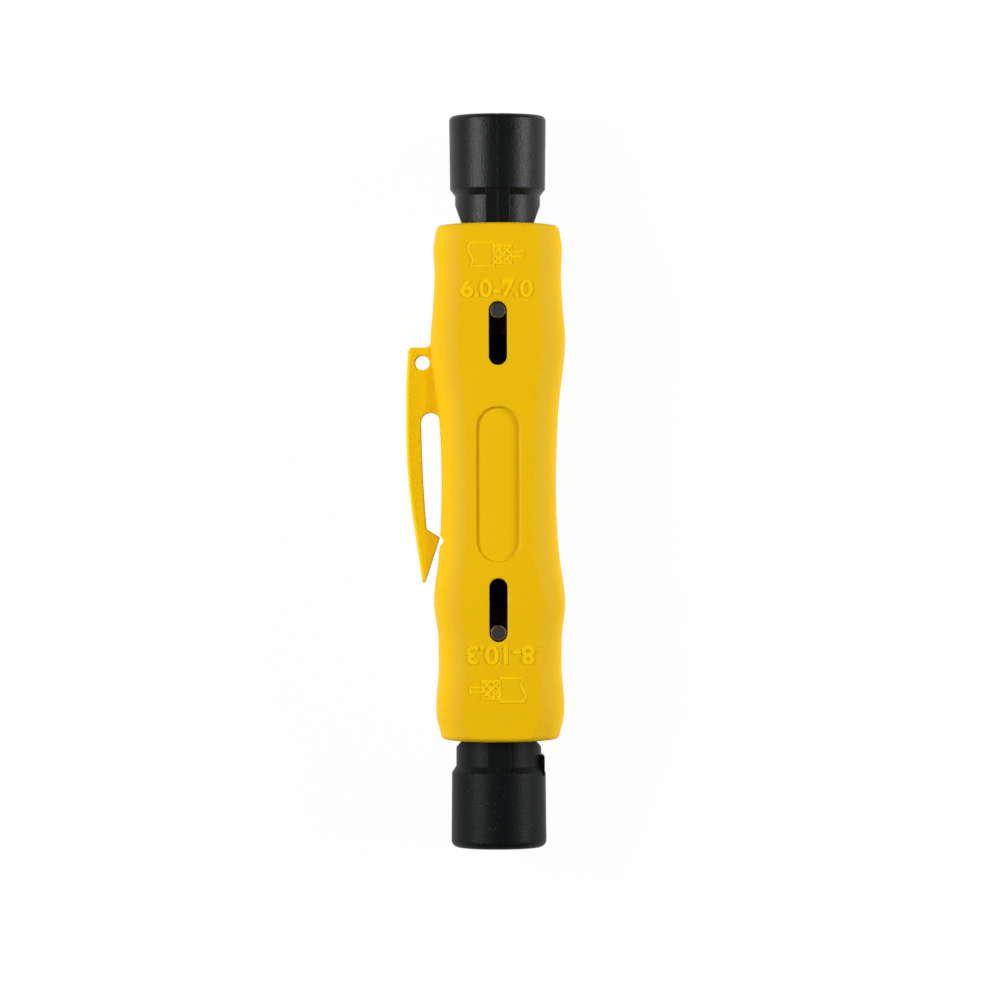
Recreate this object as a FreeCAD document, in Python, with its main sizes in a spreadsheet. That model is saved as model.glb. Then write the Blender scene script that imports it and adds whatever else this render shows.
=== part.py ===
import FreeCAD, Part
import math
import os
import re

import Sketcher

# Coaxial cable stripper, a two-ended hand tool. Millimetres.
# The tool lies on its flat back. Origin: on the back, under the middle of the housing.
# +X to the right, +Y along the tool to the small head, +Z up to the thumb recess.
# Each head is a pair of jaws hinged on a pin that rides in two slots of the housing. Pushed in
# against its spring, the head meets a narrowing bore that squeezes the tails and opens the jaws.

doc = FreeCAD.newDocument("CableStripper")

SIZES = [
    ("housing_half_length", 44.05, "middle of the housing to the middle of its end faces"),
    ("axis_height", 10.2, "flat back to the axis of both heads, half of the depth"),
    ("skin_trim", 0.08, "taken off the front and the back to make them flat"),
    ("end_fillet", 1.0, "rounding of both end rims"),
    ("end_crown_radius", 140.0, "radius of the crowned end faces"),
    ("small_end_half", 10.5, "half width at the small end face"),
    ("small_rim_inset", 2.25, "small end face to the first station inside it"),
    ("small_rim_place", "=housing_half_length - small_rim_inset", "just inside the small end"),
    ("small_rim_half", 10.68, "half width there"),
    ("small_collar_inset", 4.4, "small end face to the ridge by it"),
    ("small_collar_place", "=housing_half_length - small_collar_inset", "ridge by the small end"),
    ("small_collar_half", 10.94, "half width there"),
    ("small_valley_inset", 8.0, "small end face to the shallow valley below that ridge"),
    ("small_valley_place", "=housing_half_length - small_valley_inset", "that valley"),
    ("small_valley_half", 10.79, "half width there"),
    ("small_foot_inset", 12.85, "small end face to where the swell begins"),
    ("small_foot_place", "=housing_half_length - small_foot_inset", "where the swell begins"),
    ("small_foot_half", 10.95, "half width there"),
    ("small_rise_inset", 15.45, "small end face to the middle of the rise to the swell"),
    ("small_rise_place", "=housing_half_length - small_rise_inset", "middle of that rise"),
    ("small_rise_half", 11.13, "half width there"),
    ("small_swell_inset", 18.35, "small end face to the widest finger swell"),
    ("small_swell_place", "=housing_half_length - small_swell_inset", "widest finger swell"),
    ("small_swell_half", 11.41, "half width there"),
    ("small_flank_run", 11.3, "widest swell to the middle of the flank"),
    ("small_flank_place", "=small_swell_place - small_flank_run", "flank towards the waist"),
    ("small_flank_half", 10.42, "half width there"),
    ("small_waist_run", 18.2, "widest swell to where the waist begins"),
    ("small_waist_place", "=small_swell_place - small_waist_run", "where the waist begins"),
    ("small_waist_half", 9.93, "half width there"),
    ("waist_half", 9.73, "half width at the waist"),
    ("large_swell_inset", 22.85, "large end face to the widest finger swell, large side"),
    ("large_swell_place", "=housing_half_length - large_swell_inset", "that swell"),
    ("large_swell_half", 11.16, "half width there"),
    ("large_flank_run", 6.6, "widest swell to the middle of the flank, large side"),
    ("large_flank_place", "=large_swell_place - large_flank_run", "that flank"),
    ("large_flank_half", 10.51, "half width there"),
    ("large_waist_run", 14.7, "widest swell to where the waist begins, large side"),
    ("large_waist_place", "=large_swell_place - large_waist_run", "where it begins"),
    ("large_waist_half", 9.87, "half width there"),
    ("large_foot_inset", 18.45, "large end face to where that swell ends"),
    ("large_foot_place", "=housing_half_length - large_foot_inset", "where that swell ends"),
    ("large_foot_half", 10.57, "half width there"),
    ("large_dip_inset", 15.35, "large end face to the start of the valley, large side"),
    ("large_dip_place", "=housing_half_length - large_dip_inset", "start of that valley"),
    ("large_dip_half", 10.49, "half width there"),
    ("large_valley_inset", 12.55, "large end face to the valley, large side"),
    ("large_valley_place", "=housing_half_length - large_valley_inset", "that valley"),
    ("large_valley_half", 10.45, "half width there"),
    ("large_collar_inset", 6.5, "large end face to the ridge by it"),
    ("large_collar_place", "=housing_half_length - large_collar_inset", "ridge by the large end"),
    ("large_collar_half", 10.9, "half width there"),
    ("large_rim_inset", 2.85, "large end face to the first station inside it"),
    ("large_rim_place", "=housing_half_length - large_rim_inset", "just inside the large end"),
    ("large_rim_half", 10.55, "half width there"),
    ("large_end_half", 10.15, "half width at the large end face"),
    ("waist_shift", 0.1, "middle of the waist to the right of the axis"),
    ("large_swell_shift", 0.2, "middle of the large swell to the right of the axis"),
    ("large_end_shift", 0.27, "middle of the large end to the right of the axis"),
    ("skin_corner", 5.7, "corner radius of the section"),
    ("mouth_half_width", 8.9, "bore at the end face, sideways"),
    ("bore_half_depth", 8.4, "bore, front to back"),
    ("bore_corner", 7.4, "corner radius of the bore"),
    ("small_draft", 1.9, "degrees that each side of the small bore narrows"),
    ("large_draft", 1.5, "the same for the large bore"),
    ("middle_wall", 3.0, "wall between the two bores"),
    ("spring_boss_length", 1.0, "boss on that wall inside each spring"),
    ("recess_width", 7.45, "thumb recess"),
    ("recess_corner", 3.6, "thumb recess"),
    ("recess_depth", 0.5, "thumb recess"),
    ("recess_edge", 0.25, "rounding of the rim of the recess"),
    ("recess_shift", 0.38, "middle of the recess towards the large head"),
    ("clip_thickness", 4.6, "belt clip, front to back"),
    ("clip_top", 23.05, "upper edge of the clip pad"),
    ("clip_stand_off", 4.29, "widest finger swell to the outer edge of the clip"),
    ("clip_reach", "=small_swell_half + clip_stand_off", "axis to the outer edge of the clip"),
    ("clip_corner", 0.8, "outer corner of the pad"),
    ("clip_bend_place", 9.0, "where the straight outer edge ends"),
    ("clip_elbow_place", 6.2, "below the middle: end of the curve of the arm"),
    ("clip_elbow_fall", 1.1, "how much nearer the axis the arm is there"),
    ("clip_elbow_reach", "=clip_reach - clip_elbow_fall", "axis to the outer edge there"),
    ("clip_tip_place", 17.1, "below the middle: end of the arm"),
    ("clip_tip_fall", 1.9, "how much nearer the axis the tip is than the elbow"),
    ("clip_tip_reach", "=clip_elbow_reach - clip_tip_fall", "axis to the tip"),
    ("clip_gap_top", 11.9, "upper end of the gap behind the arm"),
    ("clip_gap_width", 3.3, "gap behind the arm"),
    ("clip_arm_width", 2.5, "arm beside the gap"),
    ("barb_place", 9.45, "below the middle: point of the barb"),
    ("barb_length", 4.6, "outer edge of the elbow to the point of the barb"),
    ("barb_reach", "=clip_elbow_reach - barb_length", "axis to the point of the barb"),
    ("barb_root_place", 8.0, "below the middle: where the barb leaves the arm"),
    ("barb_root_fall", 0.9, "how much nearer the axis the arm is there than beside the gap"),
    ("barb_root_reach", "=clip_reach - clip_arm_width - barb_root_fall", "axis to the arm there"),
    ("barb_round", 0.45, "rounding of the point and of the root of the barb"),
    ("clip_root_fillet", 1.2, "fillet where the pad leaves the housing"),
    ("clip_pad_taper", 0.3, "how much narrower the pad is at its upper corner"),
    ("clip_arm_bow", 250.0, "radius of the long inner edge of the arm"),
    ("clip_tip_round", 0.32, "rounding of the tip"),
    ("clip_edge", 0.5, "rounding of the long edges of the clip"),
    ("lanyard_radius", 1.25, "lanyard hole"),
    ("lanyard_inset", 2.8, "outer edge of the clip to the middle of the lanyard hole"),
    ("lanyard_reach", "=clip_reach - lanyard_inset", "axis to the lanyard hole"),
    ("lanyard_drop", 2.6, "upper edge of the clip to the middle of the lanyard hole"),
    ("notch_gap", 0.72, "point of the barb to the floor of the notch that it faces"),
    ("notch_reach", "=barb_reach - notch_gap", "axis to the floor of that notch"),
    ("notch_place", 9.95, "below the middle: floor of that notch"),
    ("notch_slope", 40.0, "degrees between each side of the notch and the housing"),
    ("notch_round", 0.4, "rounding of the floor of the notch"),
    ("stroke", 7.5, "travel of each head"),
    ("slot_width", 3.1, "pin slots, front and back"),
    ("slot_edge", 0.2, "rounding of the rims of the slots"),
    ("slot_spare", 0.2, "slot left over behind the pin at full travel"),
    ("pin_radius", 1.3, "pivot pins"),
    ("pin_clearance", 0.05, "radial play of the pin in the jaws"),
    ("pin_sink", 0.25, "pin end below the face of the housing"),
    ("pin_chamfer", 0.15, "edge of each pin end"),
    ("small_pivot_inset", 14.95, "end of the housing to the small pivot pin"),
    ("large_pivot_inset", 18.55, "end of the housing to the large pivot pin"),
    ("small_pivot", "=housing_half_length - small_pivot_inset", "middle to the small pivot pin"),
    ("large_pivot", "=housing_half_length - large_pivot_inset", "middle to the large pivot pin"),
    ("recess_gap", 3.15, "slot of the large head to the thumb recess"),
    ("recess_length", "=2 * (large_pivot - stroke - slot_spare - slot_width / 2 - recess_gap)",
     "thumb recess"),
    ("small_head_reach", 18.62, "end of the housing to the tip of the small head"),
    ("large_head_reach", 18.35, "end of the housing to the tip of the large head"),
    ("small_tip", "=housing_half_length + small_head_reach", "middle to the small tip"),
    ("large_tip", "=housing_half_length + large_head_reach", "middle to the large tip"),
    ("small_tip_radius", 8.27, "small head at its tip"),
    ("large_tip_radius", 8.13, "large head at its tip"),
    ("small_head_radius", 8.13, "small head at its shoulder"),
    ("large_head_radius", 8.02, "large head at its shoulder"),
    ("small_rib_height", 7.9, "axis to the flat of the ribs of the small head"),
    ("large_rib_height", 7.8, "axis to the flat of the ribs of the large head"),
    ("small_tip_rounding", 0.9, "edge round at the tip, small head"),
    ("large_tip_rounding", 1.25, "edge round at the tip, large head"),
    ("neck_radius", 7.27, "neck below the shoulder"),
    ("shoulder_chamfer", 1.15, "length of the chamfer of the shoulder"),
    ("shoulder_rounding", 0.35, "rounding of the edge of the shoulder"),
    ("small_cap_length", 12.6, "shoulder to the tip, small head"),
    ("large_cap_length", 12.8, "shoulder to the tip, large head"),
    ("small_shoulder", "=small_tip - small_cap_length", "middle to the shoulder, small head"),
    ("large_shoulder", "=large_tip - large_cap_length", "middle to the shoulder, large head"),
    ("small_neck_length", 2.7, "shoulder to where the sides start to narrow, small head"),
    ("large_neck_length", 4.3, "shoulder to where the sides start to narrow, large head"),
    ("small_neck_end", "=small_shoulder - small_neck_length", "middle to the end of that neck"),
    ("large_neck_end", "=large_shoulder - large_neck_length", "middle to the end of that neck"),
    ("small_side_slope", 3.5, "length over which the sides narrow, small head"),
    ("large_side_slope", 1.3, "length over which the sides narrow, large head"),
    ("small_stem_start", "=small_neck_end - small_side_slope", "where the narrow stem begins"),
    ("large_stem_start", "=large_neck_end - large_side_slope", "where the narrow stem begins"),
    ("stem_half_width", 6.0, "stem inside the housing, sideways"),
    ("small_channel_radius", 3.6, "cable channel for cables of 6 to 7 mm"),
    ("large_channel_radius", 5.4, "cable channel for cables of 8 to 10 mm"),
    ("stop_reach", 1.25, "end of the housing to the floor that the cable end meets"),
    ("channel_stop", "=housing_half_length + stop_reach", "middle to that floor"),
    ("channel_lead", 0.7, "lead-in chamfer of the channel"),
    ("small_rib_width", 4.0, "rib along the front and back of the head"),
    ("large_rib_width", 3.75, "rib along the front and back of the head"),
    ("split_gap", 0.1, "between the two jaws"),
    ("split_step", 0.5, "how far the parting line at the back is to the support side"),
    ("split_step_start", 1.5, "hinge eyes to the start of that step"),
    ("lap_length", 4.0, "lap of the jaws under the front of the tip, which keeps light out"),
    ("lap_width", 0.4, "that lap, across the parting line"),
    ("small_lap_height", 6.0, "axis to the top of the lap, small head"),
    ("large_lap_height", 6.9, "axis to the top of the lap, large head"),
    ("ear_radius", 4.2, "hinge eyes around the pin"),
    ("eye_clearance", 0.3, "around and beside the eye of the other jaw"),
    ("eye_half_depth", 7.3, "axis to the outer face of the outer eyes"),
    ("tongue_half_depth", 2.9, "half depth of the middle eye"),
    ("small_tail", 9.0, "pin to the end of the tails"),
    ("large_tail", 7.5, "pin to the end of the tails"),
    ("tail_clearance", 0.1, "tail to the side of the bore"),
    ("tail_crown", 7.3, "radius of the rounded outer face of the tails"),
    ("tail_half_depth", 4.0, "half depth of the tails"),
    ("tail_reach_past_pin", 2.0, "how far the tail block runs past the pin"),
    ("tail_relief", 0.3, "half gap between the tails by the hinge"),
    ("shield_thickness", 0.8, "plate behind the tails that keeps dirt off the nose"),
    ("shield_half_width", 1.75, "half width of that plate, a little more than the slots"),
    ("shield_room", 0.7, "edge of that plate to the other tail, which closes on it"),
    ("nose_radius", 2.5, "plunger nose where the tail ends meet it"),
    ("small_nose_angle", 30.0, "half angle of the nose"),
    ("large_nose_angle", 25.0, "half angle of the nose"),
    ("nose_ahead", 1.9, "nose past the tail ends"),
    ("nose_behind", 2.6, "nose before the tail ends"),
    ("nose_clearance", 0.08, "tails to the nose, sideways"),
    ("ramp_run_out", 0.3, "ramp of the tails past the end of the nose"),
    ("ramp_shoulder", 0.6, "end of that ramp to the straight relief"),
    ("flange_radius", 6.6, "plunger flange"),
    ("flange_thickness", 1.5, "plunger flange"),
    ("seat_length", 1.5, "spring boss of the plunger"),
    ("seat_radius", 4.9, "spring bosses"),
    ("wire_radius", 0.4, "return springs"),
    ("wire_sides", 8, "flat sides of the wire's section"),
    ("coil_radius", 5.6, "return springs, to the middle of the wire"),
    ("small_turns", 6.5, "return spring of the small head"),
    ("large_turns", 5.5, "return spring of the large head"),
    ("spring_seat_gap", 0.02, "spring wire to its seats"),
    ("cassette_thickness", 1.9, "blade cassette, from the skin of the head inwards"),
    ("small_cassette_half_depth", 2.3, "blade cassette, front to back"),
    ("large_cassette_half_depth", 2.7, "blade cassette, front to back"),
    ("small_cassette_inset", 0.6, "shoulder to the inner end of the cassette, small head"),
    ("small_cassette_start", "=small_shoulder + small_cassette_inset",
     "middle to the inner end of the cassette"),
    ("lug_length", 3.0, "lug of the large cassette, before the shoulder"),
    ("lug_reach", 7.85, "axis to the flat side of that lug"),
    ("lug_corner", 0.5, "rounding of its corner"),
    ("large_cassette_start", "=large_shoulder - lug_length", "middle to the inner end of the cassette"),
    ("cassette_end_wall", 2.0, "tip to the outer end of the cassette"),
    ("cassette_play", 0.05, "cassette in its pocket"),
    ("jacket_cut", 4.5, "tip to the jacket blade"),
    ("core_cut", 6.35, "jacket blade to the core blade"),
    ("blade_thickness", 0.45, "both blades"),
    ("blade_half_depth", 2.0, "both blades, front to back"),
    ("blade_root", 7.2, "axis to the outer edge of the blades"),
    ("blade_play", 0.05, "blades in their slits"),
    ("bevel_length", 0.8, "ground bevel of the blades"),
    ("edge_flat", 0.04, "flat left at the cutting edge"),
    ("small_jacket_edge", 2.6, "axis to the jacket blade's edge"),
    ("small_core_edge", 0.55, "axis to the core blade's edge"),
    ("large_jacket_edge", 3.9, "axis to the jacket blade's edge"),
    ("large_core_edge", 1.1, "axis to the core blade's edge"),
    ("overrun", 1.0, "how far the outlines of cuts run past the piece"),
]

sheet = doc.addObject("Spreadsheet::Sheet", "Sizes")
for row, (alias, size, note) in enumerate(SIZES, start=1):
    sheet.set(f"A{row}", alias)
    sheet.set(f"B{row}", str(size))
    sheet.setAlias(f"B{row}", alias)
    sheet.set(f"C{row}", note)
doc.recompute()
ALIASES = {alias for alias, size, note in SIZES}
NEAR = 0.01  # how far an edge may be from the place where it is looked for


def formula(text):
    """The text with each size's name led by the sheet's, as an expression needs it."""
    return re.sub(r"[a-z][a-z_]+", lambda word: "Sizes." + word.group() if word.group() in ALIASES
                  else word.group(), str(text))


def measure(text):
    """What a formula of sizes comes to, in mm."""
    result = sheet.evalExpression(formula(text))
    return float(getattr(result, "Value", result))


def bind(item, prop, text):
    item.setExpression(prop, formula(text))


# Sketches and features

def new_body(name):
    body = doc.addObject("PartDesign::Body", name)
    body.Label = name
    return body


def new_sketch(body, role, name, offset=None):
    """A sketch on one of the body's own planes, moved along the plane's normal."""
    sketch = body.newObject("Sketcher::SketchObject", name)
    plane = [item for item in body.Origin.OriginFeatures if item.Role == role][0]
    sketch.AttachmentSupport = [(plane, "")]
    sketch.MapMode = "FlatFace"
    if offset is not None:
        bind(sketch, "AttachmentOffset.Base.z", offset)
    return sketch


def hold(sketch, kind, elements, text):
    """A dimension in the sketch, tied to a formula."""
    index = sketch.addConstraint(Sketcher.Constraint(kind, *elements, measure(text)))
    bind(sketch, f"Constraints[{index}]", text)


def outline(sketch, corners, bends=None):
    """A closed outline through corners given as formulas.

    bends maps the number of an edge to its radius, with a minus for an edge that turns
    clockwise about its own centre on the way to the next corner.
    """
    bends = bends or {}
    points = [FreeCAD.Vector(measure(x), measure(y), 0) for x, y in corners]
    count = len(points)
    for i, start in enumerate(points):
        end = points[(i + 1) % count]
        if i not in bends:
            sketch.addGeometry(Part.LineSegment(start, end), False)
            continue
        turn = -1 if bends[i].startswith("-") else 1
        radius = measure(bends[i].lstrip("-"))
        chord = end - start
        rise = math.sqrt(max(radius ** 2 - chord.Length ** 2 / 4, 0))
        normal = FreeCAD.Vector(-chord.y, chord.x, 0).normalize()
        centre = (start + end) * 0.5 + normal * (turn * rise)
        disc = Part.Circle(centre, FreeCAD.Vector(0, 0, 1), radius)
        first, last = (start, end) if turn > 0 else (end, start)
        sketch.addGeometry(Part.ArcOfCircle(disc, disc.parameter(first), disc.parameter(last)), False)
    starts = [2 if i in bends and bends[i].startswith("-") else 1 for i in range(count)]
    for i, (x, y) in enumerate(corners):
        after = (i + 1) % count
        sketch.addConstraint(Sketcher.Constraint("Coincident", i, 3 - starts[i], after, starts[after]))
        hold(sketch, "DistanceX", (-1, 1, i, starts[i]), x)
        hold(sketch, "DistanceY", (-1, 1, i, starts[i]), y)
    for i, radius in bends.items():
        chord = (points[(i + 1) % count] - points[i]).Length
        if abs(chord - 2 * measure(radius.lstrip("-"))) < 1e-6:
            sketch.addConstraint(Sketcher.Constraint("Symmetric", i, 1, i, 2, i, 3))
        else:
            hold(sketch, "Radius", (i,), radius.lstrip("-"))
    return sketch


def rounded_rectangle(sketch, half_width, half_height, corner, shift="0"):
    """A rectangle with four equal round corners, its middle moved along the first axis."""
    w, v, r, x = measure(half_width), measure(half_height), measure(corner), measure(shift)
    ends = [((-w + r, v), (w - r, v)), ((w, v - r), (w, -v + r)),
            ((w - r, -v), (-w + r, -v)), ((-w, -v + r), (-w, v - r))]
    for start, end in ends:
        sketch.addGeometry(Part.LineSegment(FreeCAD.Vector(x + start[0], start[1], 0),
                                            FreeCAD.Vector(x + end[0], end[1], 0)), False)
    middles = [(w - r, v - r), (w - r, -v + r), (-w + r, -v + r), (-w + r, v - r)]
    for i, middle in enumerate(middles):
        disc = Part.Circle(FreeCAD.Vector(x + middle[0], middle[1], 0), FreeCAD.Vector(0, 0, 1), r)
        top = math.pi / 2 * (1 - i)
        sketch.addGeometry(Part.ArcOfCircle(disc, top - math.pi / 2, top), False)
    for i in range(4):
        sketch.addConstraint(Sketcher.Constraint("Tangent", i, 2, 4 + i, 2))
        sketch.addConstraint(Sketcher.Constraint("Tangent", 4 + i, 1, (i + 1) % 4, 1))
        direction = "Horizontal" if i % 2 == 0 else "Vertical"
        sketch.addConstraint(Sketcher.Constraint(direction, i))
    for i in (5, 6, 7):
        sketch.addConstraint(Sketcher.Constraint("Equal", 4, i))
    hold(sketch, "DistanceX", (-1, 1, 1, 1), f"({shift}) + ({half_width})")
    hold(sketch, "DistanceX", (3, 1, -1, 1), f"({half_width}) - ({shift})")
    hold(sketch, "DistanceY", (-1, 1, 0, 1), half_height)
    hold(sketch, "DistanceY", (2, 1, -1, 1), half_height)
    hold(sketch, "Radius", (4,), corner)
    return sketch


def circle(sketch, x, y, radius):
    """A circle whose middle and radius are formulas."""
    middle = FreeCAD.Vector(measure(x), measure(y), 0)
    sketch.addGeometry(Part.Circle(middle, FreeCAD.Vector(0, 0, 1), measure(radius)), False)
    hold(sketch, "Radius", (0,), radius)
    hold(sketch, "DistanceX", (-1, 1, 0, 3), x)
    hold(sketch, "DistanceY", (-1, 1, 0, 3), y)
    return sketch


def straight(body, kind, name, sketch, length, both_ways=True, reverse=False):
    """A Pad or Pocket of one sketch. Without a length it goes through all."""
    feature = body.newObject(f"PartDesign::{kind}", name)
    feature.Profile = sketch
    feature.SideType = "Symmetric" if both_ways else "One side"
    feature.Reversed = reverse
    if length is None:
        feature.Type = "ThroughAll"
    else:
        bind(feature, "Length", length)
    return feature


def turned(body, kind, name, sketch, angle=360, reverse=False):
    """A Revolution or Groove about the body's Y axis, half of the angle to each side."""
    feature = body.newObject(f"PartDesign::{kind}", name)
    feature.Profile = sketch
    feature.ReferenceAxis = (sketch, ["V_Axis"])
    feature.Angle = angle
    feature.Midplane = True
    feature.Reversed = reverse
    return feature


def loft(body, kind, name, sketches, ruled=False):
    feature = body.newObject(f"PartDesign::{kind}", name)
    feature.Profile = sketches[0]
    feature.Sections = sketches[1:]
    feature.Ruled = ruled
    return feature


def filleted(body, name, base, picks, radius, kind="Fillet"):
    """A fillet or chamfer on the edges of the base that the test picks."""
    doc.recompute()
    edges = [f"Edge{i}" for i, edge in enumerate(base.Shape.Edges, start=1) if picks(edge)]
    if not edges:
        raise ValueError(f"{name} finds no edge")
    feature = body.newObject(f"PartDesign::{kind}", name)
    feature.Base = (base, edges)
    bind(feature, "Radius" if kind == "Fillet" else "Size", radius)
    return feature


def place_on_axis(body, head="small"):
    """Pieces of a head are drawn about its own axis, tip to +Y; the large head looks to -Y."""
    turn = 0 if head == "small" else 180
    bind(body, "Placement.Base.z", "axis_height")
    body.Placement.Rotation = FreeCAD.Rotation(FreeCAD.Vector(0, 0, 1), turn)


# Housing: one moulding with the belt clip

def bore_half(head, place):
    """Half width of a head's bore at a distance from the middle."""
    return f"(mouth_half_width - (housing_half_length - ({place})) * tan({head}_draft * 1deg))"


def make_housing():
    body = new_body("housing")
    place_on_axis(body)
    stations = [
        ("housing_half_length", "small_end_half", "0"),
        ("small_rim_place", "small_rim_half", "0"),
        ("small_collar_place", "small_collar_half", "0"),
        ("small_valley_place", "small_valley_half", "0"),
        ("small_foot_place", "small_foot_half", "0"),
        ("small_rise_place", "small_rise_half", "0"),
        ("small_swell_place", "small_swell_half", "0"),
        ("small_flank_place", "small_flank_half", "waist_shift / 2"),
        ("small_waist_place", "small_waist_half", "waist_shift"),
        ("0", "waist_half", "waist_shift"),
        ("-large_waist_place", "large_waist_half", "waist_shift"),
        ("-large_flank_place", "large_flank_half", "(waist_shift + large_swell_shift) / 2"),
        ("-large_swell_place", "large_swell_half", "large_swell_shift"),
        ("-large_foot_place", "large_foot_half", "large_end_shift"),
        ("-large_dip_place", "large_dip_half", "large_end_shift"),
        ("-large_valley_place", "large_valley_half", "large_end_shift"),
        ("-large_collar_place", "large_collar_half", "large_end_shift"),
        ("-large_rim_place", "large_rim_half", "large_end_shift"),
        ("-housing_half_length", "large_end_half", "large_end_shift"),
    ]
    sections = []
    for i, (place, half_width, shift) in enumerate(stations):
        sketch = new_sketch(body, "XZ_Plane", f"Section{i}", f"-({place})")
        sections.append(rounded_rectangle(sketch, half_width, "axis_height + skin_trim", "skin_corner",
                                          shift))
    loft(body, "AdditiveLoft", "Skin", sections)
    crowned = crown_ends(body)
    half_length, drop = measure("housing_half_length"), measure("overrun")
    filleted(body, "EndRims", crowned,
             lambda edge: edge.BoundBox.YLength < drop
             and all(abs(v.Y) > half_length - drop for v in edge.Vertexes),
             "end_fillet")
    wide, long = "2 * small_swell_half", "housing_half_length + overrun"
    for name, side, up in (("Front", "axis_height", True), ("Back", "-axis_height", False)):
        whole = outline(new_sketch(body, "XY_Plane", f"{name}Outline", side),
                        [(f"-{wide}", f"-({long})"), (wide, f"-({long})"),
                         (wide, long), (f"-{wide}", long)])
        straight(body, "Pocket", f"{name}Face", whole, None, both_ways=False, reverse=up)
    doc.recompute()

    cut_notch(body)
    add_clip(body)
    for head in ("small", "large"):
        cut_bore(body, head)
    cut_recess(body)
    return body


def crown_ends(body):
    """Both end faces are cut to a slight crown, highest in the middle."""
    half = "small_swell_half"
    drop = f"(end_crown_radius - sqrt(end_crown_radius * end_crown_radius - {half} * {half}))"
    for sign in ("", "-"):
        edge = f"{sign}(housing_half_length - {drop})"
        outside = f"{sign}(housing_half_length + overrun)"
        bend = "-end_crown_radius" if sign == "" else "end_crown_radius"
        sketch = outline(new_sketch(body, "XY_Plane", "CrownOutline"),
                         [(f"-{half}", outside), (f"-{half}", edge), (half, edge), (half, outside)],
                         {1: bend})
        crown = straight(body, "Pocket", "Crown", sketch, None)
        doc.recompute()
    return crown


def add_clip(body):
    """Pad, arm and barb of the belt clip, with the lanyard hole."""
    inside = "-mouth_half_width"
    gap_outer = "-(clip_reach - clip_arm_width)"
    gap_inner = "-(clip_reach - clip_arm_width - clip_gap_width)"
    gap_start = "clip_gap_top - clip_gap_width / 2"
    bow = "(clip_bend_place + clip_elbow_place)"
    fall = "(clip_reach - clip_elbow_reach)"
    corners = [
        (inside, "clip_top + clip_root_fillet"),
        ("-small_swell_half", "clip_top + clip_root_fillet"),
        ("-(small_swell_half + clip_root_fillet)", "clip_top"),
        ("-(clip_reach - clip_pad_taper - clip_corner)", "clip_top"),
        ("-(clip_reach - clip_pad_taper)", "clip_top - clip_corner"),
        ("-clip_reach", "(clip_top + clip_bend_place) / 2"),
        ("-clip_reach", "clip_bend_place"),
        ("-clip_elbow_reach", "-clip_elbow_place"),
        ("-(clip_tip_reach + clip_tip_round)", "-(clip_tip_place - clip_tip_round)"),
        ("-(clip_tip_reach - clip_tip_round)", "-(clip_tip_place - clip_tip_round)"),
        ("-barb_reach", "-barb_place"),
        ("-barb_root_reach", "-barb_root_place"),
        (gap_outer, gap_start),
        (gap_inner, gap_start),
        (inside, gap_start),
    ]
    bends = {1: "-clip_root_fillet", 3: "clip_corner",
             6: f"({bow} * {bow} + {fall} * {fall}) / (2 * {fall})",
             8: "clip_tip_round", 11: "-clip_arm_bow", 12: "-clip_gap_width / 2"}
    sketch = outline(new_sketch(body, "XY_Plane", "ClipOutline"), corners, bends)
    pad = straight(body, "Pad", "Clip", sketch, "clip_thickness")
    edge_of_clip = measure("clip_thickness") / 2
    outside = NEAR - measure("clip_elbow_reach")
    filleted(body, "ClipEdges", pad,
             lambda edge: all(abs(abs(v.Z) - edge_of_clip) < NEAR and v.X < outside
                              for v in edge.Vertexes),
             "clip_edge")
    hole = circle(new_sketch(body, "XY_Plane", "LanyardOutline"), "-lanyard_reach",
                  "clip_top - lanyard_drop", "lanyard_radius")
    lanyard = straight(body, "Pocket", "LanyardHole", hole, None)
    corners_of_barb = [(-measure("barb_reach"), -measure("barb_place")),
                       (-measure("barb_root_reach"), -measure("barb_root_place"))]
    filleted(body, "BarbRounding", lanyard,
             lambda edge: edge.BoundBox.ZLength > 2 * edge_of_clip - 2 * measure("clip_edge")
             and any(abs(edge.CenterOfMass.x - x) + abs(edge.CenterOfMass.y - y) < NEAR
                     for x, y in corners_of_barb),
             "barb_round")


def cut_notch(body):
    """Rounded notch across the side of the housing, which the barb faces."""
    turn = "(notch_slope * 1deg)"
    middle = "(notch_reach + notch_round)"
    side = f"({middle} + 2 * overrun)"
    rise = f"(notch_round * cos{turn} + (2 * overrun + notch_round * sin{turn}) / tan{turn})"
    corners = [(f"-({side})", f"-notch_place + {rise}"),
               (f"-({middle} - notch_round * sin{turn})", f"-notch_place + notch_round * cos{turn}"),
               (f"-({middle} - notch_round * sin{turn})", f"-notch_place - notch_round * cos{turn}"),
               (f"-({side})", f"-notch_place - {rise}")]
    notch = outline(new_sketch(body, "XY_Plane", "NotchOutline"), corners, {1: "-notch_round"})
    straight(body, "Pocket", "Notch", notch, None)


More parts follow.
